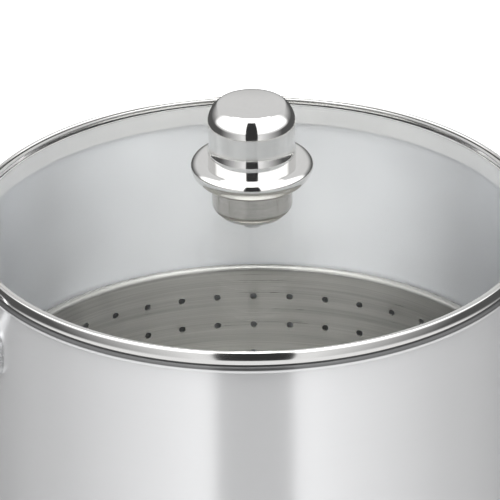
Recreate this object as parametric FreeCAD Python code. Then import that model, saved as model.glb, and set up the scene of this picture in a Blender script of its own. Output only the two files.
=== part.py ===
import FreeCAD, Part
import math
import os

# Water bath canner: a straight-sided stainless pot with a clad base and two riveted loop
# handles, a perforated lift-out basket with two hinged bails, and a shallow glass lid with
# a steel rim band and a tall steel knob.
# Frame: origin at the centre of the underside, +Z up, side handles on +X and -X. Millimetres.

V = FreeCAD.Vector
UP = V(0, 0, 1)
CENTRE = V(0, 0, 0)

# ---- driving dimensions ----------------------------------------------------------------
sheet = 0.8                      # stainless sheet of pot and basket
potInnerRadius = 161.0
potRimTop = 250.0                # height of the rolled rim the lid rests on
potCurlRadius = 2.4              # rolled rim, outside of the roll
potCornerRadius = 12.8           # wall to floor, outside

capSheet = 0.6                   # steel cap under the clad base
discThickness = 4.0              # aluminium heat-spreading disc
discRadius = 148.0
baseBend = 2.6                   # rounded lower edge of the aluminium disc

handleRivetAngle = 21.0          # rivet pairs, either side of the X axis
handleLegAngle = 15.5            # where the loop's legs leave the pads
handleRodRadius = 4.75
handleReach = 45.0               # rod axis out from the wall
handleBend = 22.0                # corner radius of the loop, on the rod axis
handleRise = 10.0                # upward tilt of the loop, degrees
handleHeight = 211.6
padHeight = 27.0
padThickness = 2.8
handleRivetPitch = 12.0
handleRivetRadius = 2.5

basketOuterRadius = 154.1
basketRimTop = 150.0
basketCurlRadius = 2.8
basketFootHeight = 6.0
basketFloorDrop = 5.0            # floor's turned-down edge
basketHoleRadius = 2.0
wallHolesAround = 45
wallHolePhase = 4.0              # compass angle from +Y of the first hole column
wallHoleTopRow = 130.6
wallHoleRowPitch = 18.6
wallHoleRows = 6
floorHoleRadius = 3.0
floorHoleRings = ((28.0, 8), (52.0, 14), (76.0, 20), (100.0, 26), (124.0, 32))

bracketPlate = 1.0               # sheet of the plates that hold the bail ends
bailWireRadius = 2.0
bailHalfWidth = 41.0             # leg axis from the bail's middle
bailDrop = 46.0                  # pivot to the grip's axis
bailCorner = 14.0
bailPivotX = 143.6
bailPivotZ = 141.9
bailPinEnd = 23.0                # inner end of each pin, from the bail's middle
bailElbow = 4.0                  # bend from leg to pin, on the wire's axis
bracketSpread = 30.0             # bracket centres, either side of the bail's middle
bracketRivetPitch = 11.0
bracketRivetHeight = 136.6
bracketLow, bracketHigh = 133.3, 146.0
bracketRivetRadius = 1.6
pinClearance = 0.06              # radial, wire in its barrel

bandTop = 258.7                  # crest of the lid's rim band
bandOuterRadius = 165.7
bandBead = 1.0                   # outside radius of the bead along the crest
bandLip = 1.6                    # width of the lip that lies on the glass
bandGroove = 0.6                 # gap between the hooked lip and the bead
bandGrooveDepth = 0.8            # below the glass edge's top
bandTuck = 1.8                   # how far the band's lower edge is drawn in
bandFootBend = 0.9
bandSheet = 0.6
skirtOuterRadius = 160.0
skirtBottom = 241.6
lidRestGap = 0.1                 # band above the pot rim
glassThickness = 4.0
glassRadius = 162.0
glassEdgeTop = 256.8
glassCentreTop = 265.1
glassHoleRadius = 5.0
ventDistance = 60.0              # vent behind the knob, on +Y

knobTop = 334.0
knobCapFoot = 298.8              # where the cap stands on the flange
knobCapRadius = 25.3
knobWaistRadius = 24.6
flangeRadius = 35.15
flangeFoot = 285.2
cupRadius = 23.1
coreRadius = 8.0
knobWall = 1.0
gasketThickness = 1.2
gasketRadius = 19.0
washerThickness = 1.0
lowerGasketThickness = 1.5
screwRadius = 3.0
screwHeadRadius = 6.0
screwHeadHeight = 3.6
threadClearance = 0.05

# ---- derived levels --------------------------------------------------------------------
potOuterRadius = potInnerRadius + sheet
potFloorTop = capSheet + discThickness + sheet
basketInnerRadius = basketOuterRadius - sheet
basketWallBottom = potFloorTop + basketFootHeight
basketFloorTop = basketWallBottom + basketFloorDrop
knobSeat = glassCentreTop + gasketThickness


# ---- profile helpers -------------------------------------------------------------------
def point(r, z):
    return V(r, 0, z)


def line(a, b):
    return Part.LineSegment(point(*a), point(*b)).toShape()


def arc(a, through, b):
    return Part.Arc(point(*a), point(*through), point(*b)).toShape()


def polar(centre, radius, degrees):
    turn = math.radians(degrees)
    return (centre[0] + radius * math.cos(turn), centre[1] + radius * math.sin(turn))


def curve(centre, radius, start, end):
    """Arc of a circle in the r-z plane, between two angles in degrees."""
    return arc(polar(centre, radius, start), polar(centre, radius, (start + end) / 2),
               polar(centre, radius, end))


def turned(edges):
    """Solid of revolution about Z from a closed outline of edges."""
    face = Part.Face(Part.Wire(edges))
    solid = face.revolve(CENTRE, UP, 360)
    if solid.Volume < 0:
        solid.reverse()
    return Part.Solid(solid) if solid.ShapeType != "Solid" else solid


def ring(inner, outer, bottom, top):
    body = Part.makeCylinder(outer, top - bottom, V(0, 0, bottom))
    if inner > 0:
        body = body.cut(Part.makeCylinder(inner, top - bottom, V(0, 0, bottom)))
    return body


def spun(shape, degrees, axis=UP):
    copy = shape.copy()
    copy.rotate(CENTRE, axis, degrees)
    return copy


def mirrored(shape):
    return shape.mirror(CENTRE, V(1, 0, 0))


def flipped(shape):
    return shape.mirror(CENTRE, V(0, 1, 0))


def save(shape, node):
    solids = shape.Solids
    assert solids and all(s.isValid() and s.Volume > 0 for s in solids), node
    out = solids[0] if len(solids) == 1 else Part.makeCompound(solids)
    out.exportStep("parts/" + node + ".step")
    print("%-22s %2d solid(s) %12.1f mm3" % (node, len(solids), sum(s.Volume for s in solids)))


# ---- pot -------------------------------------------------------------------------------
def curledShell(outer, floorBottom, corner, curlRadius, rimTop, curlEnd):
    """Deep-drawn vessel with a rounded corner and an outward-rolled rim."""
    inner = outer - sheet
    roll = (inner + curlRadius, rimTop - curlRadius)
    cornerCentre = (outer - corner, floorBottom + corner)
    tipOut = polar(roll, curlRadius, curlEnd)
    tipIn = polar(roll, curlRadius - sheet, curlEnd)
    edges = [
        line((0, floorBottom), (outer - corner, floorBottom)),
        curve(cornerCentre, corner, -90, 0),
        line((outer, floorBottom + corner), (outer, roll[1])),
        curve(roll, curlRadius - sheet, 180, curlEnd),
        line(tipIn, tipOut),
        curve(roll, curlRadius, curlEnd, 180),
        line((inner, roll[1]), (inner, floorBottom + corner)),
        curve(cornerCentre, corner - sheet, 0, -90),
        line((outer - corner, floorBottom + sheet), (0, floorBottom + sheet)),
        line((0, floorBottom + sheet), (0, floorBottom)),
    ]
    return turned(edges)


def handleRivetPlaces():
    for side in (1, -1):
        for step in (-0.5, 0.5):
            yield side * handleRivetAngle, handleHeight + step * handleRivetPitch


def radialCylinder(radius, start, length, height, degrees):
    """Cylinder pointing out from the Z axis, at an angle from +X and a height."""
    rod = Part.makeCylinder(radius, length, V(start, 0, height), V(1, 0, 0))
    return spun(rod, degrees)


def potBody():
    pot = curledShell(potOuterRadius, capSheet + discThickness, potCornerRadius,
                      potCurlRadius, potRimTop, -75)
    holes = []
    for angle, height in handleRivetPlaces():
        holes.append(radialCylinder(handleRivetRadius, 155, 15, height, angle))
        holes.append(radialCylinder(handleRivetRadius, 155, 15, height, angle + 180))
    return pot.cut(holes)


def roundedDisc(radius, bottom, top, bend):
    return turned([
        line((0, bottom), (radius - bend, bottom)),
        curve((radius - bend, bottom + bend), bend, -90, 0),
        line((radius, bottom + bend), (radius, top)),
        line((radius, top), (0, top)),
        line((0, top), (0, bottom)),
    ])


def baseDisc():
    return roundedDisc(discRadius, capSheet, capSheet + discThickness, baseBend)


def baseCap():
    """Dished steel cap that wraps the aluminium disc."""
    outside = roundedDisc(discRadius + capSheet, 0, capSheet + discThickness,
                          baseBend + capSheet)
    return outside.cut(baseDisc())


# ---- side handles ----------------------------------------------------------------------
def padOutline():
    """Rounded rectangle, from the inside of the loop's leg to beyond the rivets."""
    near = math.radians(handleLegAngle - 3.8) * potOuterRadius
    far = math.radians(handleRivetAngle + 2.1) * potOuterRadius
    return near, far


def handlePad():
    near, far = padOutline()
    corner = 8.0
    middle = (handleLegAngle + handleRivetAngle) / 2
    half = (far - near) / 2
    slab = Part.makeBox(30, 2 * half, padHeight, V(150, -half, handleHeight - padHeight / 2))
    longEdges = [e for e in slab.Edges
                 if abs(e.Vertexes[0].Point.x - e.Vertexes[1].Point.x) > 20]
    slab = spun(slab.makeFillet(corner, longEdges), middle)
    shell = ring(potOuterRadius, potOuterRadius + padThickness,
                 handleHeight - padHeight, handleHeight + padHeight)
    pad = slab.common(shell)
    outerFace = max(pad.Faces, key=lambda f: f.Area * (f.Surface.Radius
                    if hasattr(f.Surface, "Radius") else 0))
    return pad.makeFillet(0.9, outerFace.Edges)


def handleLoop():
    """Bent rod: leg, corner, grip, corner, leg, in a plane tilted up away from the wall."""
    legY = potOuterRadius * math.sin(math.radians(handleLegAngle))
    rootX = potOuterRadius * math.cos(math.radians(handleLegAngle))
    gripX = potOuterRadius + handleReach
    bend = handleBend
    slant = bend * (1 - math.sqrt(0.5))
    z = handleHeight
    right = [V(rootX + 0.6, legY, z), V(gripX - bend, legY, z),
             V(gripX - slant, legY - slant, z), V(gripX, legY - bend, z)]
    left = [V(p.x, -p.y, p.z) for p in reversed(right)]
    path = Part.Wire([
        Part.LineSegment(right[0], right[1]).toShape(),
        Part.Arc(right[1], right[2], right[3]).toShape(),
        Part.LineSegment(right[3], left[0]).toShape(),
        Part.Arc(left[0], left[1], left[2]).toShape(),
        Part.LineSegment(left[2], left[3]).toShape(),
    ])
    section = Part.Wire(Part.makeCircle(handleRodRadius, right[0], V(1, 0, 0)))
    rod = path.makePipeShell([section], True, False)
    bosses = [Part.makeCone(handleRodRadius + 3.4, handleRodRadius, 9,
                            V(rootX + 0.6, side * legY, z), V(1, 0, 0)) for side in (1, -1)]
    loop = rod.fuse(bosses)
    loop.rotate(V(rootX, 0, z), V(0, 1, 0), -handleRise)
    return loop


def sideHandle():
    pad = handlePad()
    handle = pad.fuse([flipped(pad), handleLoop()])
    handle = handle.cut(Part.makeCylinder(potOuterRadius, padHeight * 3,
                                          V(0, 0, handleHeight - padHeight * 1.5)))
    holes = [radialCylinder(handleRivetRadius, 150, 30, height, angle)
             for angle, height in handleRivetPlaces()]
    return handle.cut(holes).removeSplitter()


def headedPin(shank, inside, outside, headRadius, headHeight):
    """Rivet along +X, turned: a shank between two low domed heads with flat seats."""
    def domePoint(seat, direction, share):
        ball = (headRadius ** 2 + headHeight ** 2) / (2 * headHeight)
        r = headRadius * share
        return V(seat + direction * (headHeight - ball + math.sqrt(ball ** 2 - r ** 2)), 0, r)

    def dome(seat, direction):
        spots = [domePoint(seat, direction, share) for share in (0, 0.6, 1)]
        return spots if direction < 0 else spots[::-1]

    left, right = dome(inside, -1), dome(outside, 1)
    corners = [left[2], V(inside, 0, shank), V(outside, 0, shank), right[0]]
    edges = [Part.Arc(*left).toShape()]
    edges += [Part.LineSegment(a, b).toShape() for a, b in zip(corners, corners[1:])]
    edges += [Part.Arc(*right).toShape(), Part.LineSegment(right[2], left[0]).toShape()]
    return Part.Face(Part.Wire(edges)).revolve(CENTRE, V(1, 0, 0), 360)


def handleRivets():
    headRadius = 4.4
    inside = math.sqrt(potInnerRadius ** 2 - headRadius ** 2)
    rivets = []
    for angle, height in handleRivetPlaces():
        pin = headedPin(handleRivetRadius, inside, potOuterRadius + padThickness, headRadius, 1.6)
        pin.translate(V(0, 0, height))
        rivets.append(spun(pin, angle))
    return Part.makeCompound(rivets)


# ---- basket ----------------------------------------------------------------------------
def bracketPlaces():
    for side in (1, -1):
        yield side * bracketSpread


def bracketRivetPlaces():
    """Angles from +X of the bracket rivets of one bail, and their height."""
    for y in bracketPlaces():
        for step in (-0.5, 0.5):
            offset = y + step * bracketRivetPitch
            yield math.degrees(math.asin(offset / basketInnerRadius)), bracketRivetHeight


def basketWall():
    """Rolled wall strip, curled outward over the rim wire and punched in rows."""
    roll = (basketInnerRadius + basketCurlRadius, basketRimTop - basketCurlRadius)
    curlEnd = -135
    wall = turned([
        line((basketInnerRadius, basketWallBottom), (basketOuterRadius, basketWallBottom)),
        line((basketOuterRadius, basketWallBottom), (basketOuterRadius, roll[1])),
        curve(roll, basketCurlRadius - sheet, 180, curlEnd),
        line(polar(roll, basketCurlRadius - sheet, curlEnd),
             polar(roll, basketCurlRadius, curlEnd)),
        curve(roll, basketCurlRadius, curlEnd, 180),
        line((basketInnerRadius, roll[1]), (basketInnerRadius, basketWallBottom)),
    ])
    punches = []
    for column in range(wallHolesAround):
        angle = 90 - wallHolePhase - column * 360 / wallHolesAround
        for row in range(wallHoleRows):
            height = wallHoleTopRow - row * wallHoleRowPitch
            punches.append(radialCylinder(basketHoleRadius, 150, 8, height, angle))
    for angle, height in bracketRivetPlaces():
        punches.append(radialCylinder(bracketRivetRadius, 145, 14, height, angle))
        punches.append(radialCylinder(bracketRivetRadius, 145, 14, height, angle + 180))
    return wall.cut(punches)


def basketRimWire():
    roll = V(basketInnerRadius + basketCurlRadius, 0, basketRimTop - basketCurlRadius)
    wire = Part.Wire(Part.makeCircle(basketCurlRadius - sheet - 0.1, roll, V(0, 1, 0)))
    return Part.Face(wire).revolve(CENTRE, UP, 360)


def basketFloor():
    """Perforated disc with a turned-down edge, spot-welded inside the wall."""
    outer = basketInnerRadius
    bend = 3.0
    corner = (outer - bend, basketFloorTop - bend)
    floor = turned([
        line((0, basketFloorTop), (corner[0], basketFloorTop)),
        curve(corner, bend, 90, 0),
        line((outer, corner[1]), (outer, basketWallBottom)),
        line((outer, basketWallBottom), (outer - sheet, basketWallBottom)),
        line((outer - sheet, basketWallBottom), (outer - sheet, corner[1])),
        curve(corner, bend - sheet, 0, 90),
        line((corner[0], basketFloorTop - sheet), (0, basketFloorTop - sheet)),
        line((0, basketFloorTop - sheet), (0, basketFloorTop)),
    ])
    under = basketFloorTop - sheet - 1
    punches = [Part.makeCylinder(floorHoleRadius, 4, V(0, 0, under))]
    for radius, count in floorHoleRings:
        for step in range(count):
            hole = Part.makeCylinder(floorHoleRadius, 4, V(radius, 0, under))
            punches.append(spun(hole, (step + 0.5) * 360 / count))
    return floor.cut(punches)


def basketFeet():
    """Four pressed steel buttons welded under the floor, between the hole rings."""
    foot = ring(0, 7.5, potFloorTop, basketFloorTop - sheet)
    lower = [e for e in foot.Edges if abs(e.CenterOfMass.z - potFloorTop) < 0.01
             and len(e.Vertexes) == 1]
    foot = foot.makeFillet(2.0, lower)
    foot.translate(V(138, 0, 0))
    return Part.makeCompound([spun(foot, 45 + 90 * k) for k in range(4)])


# ---- bails -----------------------------------------------------------------------------
def bailBracket(y):
    """Curved plate on the inner wall, with a barrel along Y that holds one bail end."""
    plateIn = basketInnerRadius - bracketPlate
    half = 11.0
    low, high = bracketLow, bracketHigh
    slab = Part.makeBox(20, 2 * half, high - low, V(140, y - half, low))
    longEdges = [e for e in slab.Edges
                 if abs(e.Vertexes[0].Point.x - e.Vertexes[1].Point.x) > 10]
    plate = slab.makeFillet(3.0, longEdges).common(ring(plateIn, basketInnerRadius, 130, 155))
    barrelOuter = bailWireRadius + 1.4
    barrel = Part.makeCylinder(barrelOuter, 14, V(bailPivotX, y - 7, bailPivotZ), V(0, 1, 0))
    web = Part.makeBox(12, 14, 2.6, V(bailPivotX, y - 7, bailPivotZ - 1.3))
    web = web.common(Part.makeCylinder(plateIn + 0.4, 40, V(0, 0, 130)))
    bore = Part.makeCylinder(bailWireRadius + pinClearance, 16,
                             V(bailPivotX, y - 8, bailPivotZ), V(0, 1, 0))
    bracket = plate.fuse([barrel, web]).cut(bore)
    holes = [radialCylinder(bracketRivetRadius, 140, 20, height, angle)
             for angle, height in bracketRivetPlaces() if angle * y > 0]
    return bracket.cut(holes).removeSplitter()


def bailBrackets():
    return Part.makeCompound([bailBracket(y) for y in bracketPlaces()])


def bracketRivets():
    headRadius = 2.8
    inside = math.sqrt((basketInnerRadius - bracketPlate) ** 2 - headRadius ** 2)
    rivets = []
    for angle, height in bracketRivetPlaces():
        pin = headedPin(bracketRivetRadius, inside, basketOuterRadius, headRadius, 1.2)
        pin.translate(V(0, 0, height))
        rivets.append(spun(pin, angle))
    return rivets


def bail():
    """One bent wire: two short pins turned inward, two legs and the grip, hanging down."""
    x, top, low = bailPivotX, bailPivotZ, bailPivotZ - bailDrop
    elbow = bailElbow

    def quarter(cy, cz, radius, start):
        spots = [V(x, cy + radius * math.cos(math.radians(start - k * 45)),
                   cz + radius * math.sin(math.radians(start - k * 45))) for k in range(3)]
        return Part.Arc(*spots).toShape()

    def run(a, b):
        return Part.LineSegment(V(x, *a), V(x, *b)).toShape()

    w = bailHalfWidth
    path = Part.Wire([
        run((bailPinEnd, top), (w - elbow, top)),
        quarter(w - elbow, top - elbow, elbow, 90),
        run((w, top - elbow), (w, low + bailCorner)),
        quarter(w - bailCorner, low + bailCorner, bailCorner, 0),
        run((w - bailCorner, low), (bailCorner - w, low)),
        quarter(bailCorner - w, low + bailCorner, bailCorner, -90),
        run((-w, low + bailCorner), (-w, top - elbow)),
        quarter(elbow - w, top - elbow, elbow, 180),
        run((elbow - w, top), (-bailPinEnd, top)),
    ])
    section = Part.Wire(Part.makeCircle(bailWireRadius, V(x, bailPinEnd, top), V(0, 1, 0)))
    return path.makePipeShell([section], True, False)


# ---- lid -------------------------------------------------------------------------------
def lidRimBand():
    """Roll-formed steel band: lip on the glass, bead, bulged face, drawn-in foot and skirt."""
    t = bandSheet
    out = bandOuterRadius
    lipIn = glassRadius - bandLip
    seat = glassEdgeTop - glassThickness
    bottom = potRimTop + lidRestGap
    lip = glassEdgeTop + t
    lipOut = glassRadius + t
    bead = (lipOut + bandGroove + bandBead, bandTop - bandBead)
    grooveFloor = glassEdgeTop - bandGrooveDepth
    shoulder = polar(bead, bandBead, 20)
    foot = (out - bandTuck, bottom + bandFootBend)
    heel = polar(foot, bandFootBend, -20)
    belly = (out, (shoulder[1] + heel[1]) / 2)
    skirtIn = skirtOuterRadius - t
    throat = bead[0] - bandBead
    return turned([
        line((lipIn, glassEdgeTop), (lipIn, lip)),
        line((lipIn, lip), (lipOut, lip)),
        line((lipOut, lip), (lipOut, grooveFloor)),
        line((lipOut, grooveFloor), (throat, grooveFloor)),
        line((throat, grooveFloor), (throat, bead[1])),
        curve(bead, bandBead, 180, 20),
        arc(shoulder, belly, heel),
        curve(foot, bandFootBend, -20, -90),
        line((foot[0], bottom), (skirtOuterRadius, bottom)),
        line((skirtOuterRadius, bottom), (skirtOuterRadius, skirtBottom)),
        line((skirtOuterRadius, skirtBottom), (skirtIn, skirtBottom)),
        line((skirtIn, skirtBottom), (skirtIn, seat)),
        line((skirtIn, seat), (glassRadius, seat)),
        line((glassRadius, seat), (glassRadius, bottom + t)),
        line((glassRadius, bottom + t), (foot[0], bottom + t)),
        curve(foot, bandFootBend - t, -90, -20),
        arc(polar(foot, bandFootBend - t, -20), (belly[0] - t, belly[1]),
            polar(bead, bandBead - t, 20)),
        curve(bead, bandBead - t, 20, 180),
        line((throat + t, bead[1]), (throat + t, grooveFloor - t)),
        line((throat + t, grooveFloor - t), (glassRadius, grooveFloor - t)),
        line((glassRadius, grooveFloor - t), (glassRadius, glassEdgeTop)),
        line((glassRadius, glassEdgeTop), (lipIn, glassEdgeTop)),
    ])


def crownArc(top, radius, sphere, outward=True):
    """Shallow arc from the axis at a height out to a radius, on a sphere centred on the axis."""
    def spot(r):
        return (r, top - sphere + math.sqrt(sphere ** 2 - r ** 2))
    ends = (spot(0), spot(radius)) if outward else (spot(radius), spot(0))
    return arc(ends[0], spot(radius / 2), ends[1])


def domeSphere():
    rise = glassCentreTop - glassEdgeTop
    return (glassRadius ** 2 + rise ** 2) / (2 * rise)


def domeSag(radius):
    """Drop of the glass below its centre at a radius."""
    return domeSphere() - math.sqrt(domeSphere() ** 2 - radius ** 2)


def lidGlass():
    top, t = glassCentreTop, glassThickness
    rim = glassRadius - 2.6
    seatIn = skirtOuterRadius - bandSheet - 0.3
    seat = glassEdgeTop - t
    pane = turned([
        crownArc(top, rim, domeSphere()),
        line((rim, top - domeSag(rim)), (glassRadius, glassEdgeTop)),
        line((glassRadius, glassEdgeTop), (glassRadius, seat)),
        line((glassRadius, seat), (seatIn, seat)),
        line((seatIn, seat), (seatIn, top - t - domeSag(seatIn))),
        crownArc(top - t, seatIn, domeSphere(), outward=False),
        line((0, top - t), (0, top)),
    ])
    hole = Part.makeCylinder(glassHoleRadius, 30, V(0, 0, 250))
    vent = Part.makeCylinder(glassHoleRadius, 30, V(0, ventDistance, 250))
    lip = ring(glassRadius - bandLip, glassRadius + 5, glassEdgeTop, bandTop)
    return pane.cut([hole, vent, lip])


def ventEyelet():
    """Flanged steel tube set in the glass; its flanges hug the pane above and below."""
    bore = 3.4
    upper = glassCentreTop - domeSag(ventDistance) + 0.45
    lower = upper - glassThickness - 0.9
    eyelet = turned([
        line((bore, lower - 0.8), (7.4, lower - 0.8)),
        line((7.4, lower - 0.8), (7.4, lower)),
        line((7.4, lower), (glassHoleRadius - 0.15, lower)),
        line((glassHoleRadius - 0.15, lower), (glassHoleRadius - 0.15, upper)),
        line((glassHoleRadius - 0.15, upper), (8.0, upper)),
        arc((8.0, upper), (7.4, upper + 0.9), (bore + 1.6, upper + 1.4)),
        arc((bore + 1.6, upper + 1.4), (bore + 0.5, upper + 1.0), (bore, upper)),
        line((bore, upper), (bore, lower - 0.8)),
    ])
    eyelet.translate(V(0, ventDistance, 0))
    return eyelet


# ---- knob ------------------------------------------------------------------------------
def knobCap():
    """Drawn shell: nearly flat crown, full shoulder, hollowed waist and a straight foot."""
    r, w, t = knobCapRadius, knobWaistRadius, knobWall
    shoulder, waist, foot = 321.6, 312.0, 304.4
    crownRadius, crownSphere = 19.6, 350.0
    innerRadius = crownRadius - 0.4

    def crownHeight(radius):
        return knobTop - crownSphere + math.sqrt(crownSphere ** 2 - radius ** 2)

    crown, innerCrown = crownHeight(crownRadius), crownHeight(innerRadius) - t
    return turned([
        crownArc(knobTop, crownRadius, crownSphere),
        arc((crownRadius, crown), (23.9, 328.1), (r, shoulder)),
        arc((r, shoulder), (w, waist), (r, foot)),
        line((r, foot), (r, knobCapFoot)),
        line((r, knobCapFoot), (r - t, knobCapFoot)),
        line((r - t, knobCapFoot), (r - t, foot)),
        arc((r - t, foot), (w - t, waist), (r - t, shoulder)),
        arc((r - t, shoulder), (23.0, 327.6), (innerRadius, innerCrown)),
        crownArc(knobTop - t, innerRadius, crownSphere, outward=False),
        line((0, knobTop - t), (0, knobTop)),
    ])


def knobFlange():
    """Wide rounded collar, hollow, open towards the base cup it is pressed over."""
    r, t = flangeRadius, knobWall
    top, low = knobCapFoot, flangeFoot
    edgeHigh, edgeLow = 295.2, 294.0
    inner = cupRadius + 0.1
    return turned([
        line((coreRadius + 0.05, top), (29.8, top)),
        arc((29.8, top), (33.5, 298.0), (r, edgeHigh)),
        line((r, edgeHigh), (r, edgeLow)),
        arc((r, edgeLow), (32.9, 288.8), (28.4, low)),
        line((28.4, low), (inner, low)),
        line((inner, low), (inner, low + t)),
        line((inner, low + t), (28.1, low + t)),
        arc((28.1, low + t), (32.1, 289.4), (r - t, edgeLow)),
        line((r - t, edgeLow), (r - t, edgeHigh)),
        arc((r - t, edgeHigh), (32.8, 297.3), (29.8, top - t)),
        line((29.8, top - t), (coreRadius + 0.05, top - t)),
        line((coreRadius + 0.05, top - t), (coreRadius + 0.05, top)),
    ])


def knobBaseCup():
    """Open cup with a rounded foot, standing on the upper gasket."""
    r, t = cupRadius, knobWall
    rim = knobCapFoot - knobWall
    bend = 5.0
    low = knobSeat
    cup = turned([
        line((0, low), (r - bend, low)),
        curve((r - bend, low + bend), bend, -90, 0),
        line((r, low + bend), (r, rim)),
        line((r, rim), (r - t, rim)),
        line((r - t, rim), (r - t, low + bend)),
        curve((r - bend, low + bend), bend - t, 0, -90),
        line((r - bend, low + t), (0, low + t)),
        line((0, low + t), (0, low)),
    ])
    return cup.cut(Part.makeCylinder(screwRadius + threadClearance, 6, V(0, 0, low - 2)))


def knobCore():
    """Turned boss welded between cup floor and cap crown, tapped from below."""
    low, high = knobSeat + knobWall, knobTop - knobWall - 0.2
    core = ring(0, coreRadius, low, high)
    return core.cut(Part.makeCylinder(screwRadius + threadClearance, 24, V(0, 0, low - 1)))


def underGlass():
    return glassCentreTop - glassThickness - 0.05


def knobScrew():
    """Pan-head screw from under the glass, up into the core."""
    seat = underGlass() - lowerGasketThickness - washerThickness
    low = seat - screwHeadHeight
    head = ring(0, screwHeadRadius, low, seat)
    head = head.makeFillet(1.6, [e for e in head.Edges
                                 if abs(e.CenterOfMass.z - low) < 0.01
                                 and len(e.Vertexes) == 1])
    slots = [Part.makeBox(7, 1.2, 1.8, V(-3.5, -0.6, low)),
             Part.makeBox(1.2, 7, 1.8, V(-0.6, -3.5, low))]
    shank = ring(0, screwRadius, seat, knobSeat + 20)
    return head.cut(slots).fuse(shank).removeSplitter()


def knobWasher():
    top = underGlass() - lowerGasketThickness
    return ring(screwRadius + 0.2, 9.0, top - washerThickness, top)


def lowerGasket():
    top = underGlass()
    return ring(screwRadius + 0.2, 10.0, top - lowerGasketThickness, top)


def upperGasket():
    """Silicone pad whose underside follows the crown of the glass, with a collar in the hole."""
    r, lift = gasketRadius, glassCentreTop + 0.02
    pad = turned([
        line((0, knobSeat), (r, knobSeat)),
        line((r, knobSeat), (r, lift - domeSag(r))),
        crownArc(lift, r, domeSphere(), outward=False),
        line((0, lift), (0, knobSeat)),
    ])
    collar = ring(0, glassHoleRadius - 0.2, glassCentreTop - glassThickness + 0.6,
                  glassCentreTop + 0.5)
    bore = Part.makeCylinder(screwRadius + 0.2, 12, V(0, 0, 260))
    return pad.fuse(collar).cut(bore).removeSplitter()


# ---- build -----------------------------------------------------------------------------
os.makedirs("parts", exist_ok=True)

save(potBody(), "pot_body")
save(baseDisc(), "base_disc")
save(baseCap(), "base_cap")
handle = sideHandle()
save(handle, "right_handle")
save(mirrored(handle), "left_handle")
rivets = handleRivets()
save(rivets, "right_handle_rivets")
save(mirrored(rivets), "left_handle_rivets")

save(basketWall(), "basket_wall")
save(basketFloor(), "basket_floor")
save(basketRimWire(), "basket_rim_wire")
save(basketFeet(), "basket_feet")
brackets = bailBrackets()
save(brackets, "right_bail_brackets")
save(mirrored(brackets), "left_bail_brackets")
pins = bracketRivets()
save(Part.makeCompound(pins + [mirrored(p) for p in pins]), "bracket_rivets")
wireBail = bail()
save(wireBail, "right_bail")
save(mirrored(wireBail), "left_bail")

save(lidRimBand(), "lid_rim_band")
save(lidGlass(), "lid_glass")
save(ventEyelet(), "vent_eyelet")
save(knobCap(), "knob_cap")
save(knobFlange(), "knob_flange")
save(knobBaseCup(), "knob_base_cup")
save(knobCore(), "knob_core")
save(knobScrew(), "knob_screw")
save(knobWasher(), "knob_washer")
save(upperGasket(), "knob_upper_gasket")
save(lowerGasket(), "knob_lower_gasket")
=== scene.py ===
import math

import bpy
from mathutils import Matrix, Vector


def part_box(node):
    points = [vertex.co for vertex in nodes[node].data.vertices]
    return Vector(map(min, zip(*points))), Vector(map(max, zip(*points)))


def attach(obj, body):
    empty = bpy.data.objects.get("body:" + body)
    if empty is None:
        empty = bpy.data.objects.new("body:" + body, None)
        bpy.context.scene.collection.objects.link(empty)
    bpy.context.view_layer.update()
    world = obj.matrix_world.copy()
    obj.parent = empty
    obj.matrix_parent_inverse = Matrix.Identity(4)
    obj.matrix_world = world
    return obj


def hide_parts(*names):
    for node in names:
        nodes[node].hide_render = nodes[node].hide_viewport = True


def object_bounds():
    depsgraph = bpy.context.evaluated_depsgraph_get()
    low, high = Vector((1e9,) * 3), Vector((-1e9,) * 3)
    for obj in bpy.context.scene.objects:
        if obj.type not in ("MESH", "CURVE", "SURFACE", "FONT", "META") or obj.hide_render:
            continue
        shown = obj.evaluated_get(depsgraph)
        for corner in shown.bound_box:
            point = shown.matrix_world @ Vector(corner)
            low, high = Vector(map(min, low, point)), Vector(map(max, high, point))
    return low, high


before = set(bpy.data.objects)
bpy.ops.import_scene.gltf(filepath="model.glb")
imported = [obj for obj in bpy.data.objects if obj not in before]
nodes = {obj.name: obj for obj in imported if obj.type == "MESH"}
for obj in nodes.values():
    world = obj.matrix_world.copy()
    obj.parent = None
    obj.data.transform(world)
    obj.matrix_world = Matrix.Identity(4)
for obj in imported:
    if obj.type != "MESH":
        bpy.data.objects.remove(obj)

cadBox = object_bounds()
mm = 0.001
weld = 0.01 * mm         # points closer than this become one
smoothAngle = 35         # degrees, edges sharper than this stay crisp


# working habits: select nothing, start a mesh, pick what an operator acts on

def clearSelection():
    if bpy.context.mode != "OBJECT":
        bpy.ops.object.mode_set(mode="OBJECT")
    bpy.ops.object.select_all(action="DESELECT")


def pickOnly(piece):
    clearSelection()
    piece.select_set(True)
    bpy.context.view_layer.objects.active = piece


def editAll(piece):
    pickOnly(piece)
    bpy.ops.object.mode_set(mode="EDIT")
    bpy.ops.mesh.select_mode(type="VERT")
    bpy.ops.mesh.select_all(action="SELECT")


def pickVertices(piece, wanted):
    # leaves edit mode with only the wanted vertices picked
    editAll(piece)
    bpy.ops.mesh.select_all(action="DESELECT")
    bpy.ops.object.mode_set(mode="OBJECT")
    for vertex in piece.data.vertices:
        vertex.select = wanted(vertex.co)
    bpy.ops.object.mode_set(mode="EDIT")
    bpy.ops.mesh.select_mode(type="VERT")


def smoothMesh(piece):
    pickOnly(piece)
    bpy.ops.object.shade_smooth_by_angle(angle=math.radians(smoothAngle))


def finishMesh(piece, name):
    bpy.ops.object.mode_set(mode="OBJECT")
    piece.name = name
    piece.data.name = name
    smoothMesh(piece)
    return piece


def applyModifier(piece, kind, **settings):
    pickOnly(piece)
    made = piece.modifiers.new(kind.lower(), kind)
    for key, value in settings.items():
        setattr(made, key, value)
    bpy.ops.object.modifier_apply(modifier=made.name)


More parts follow.
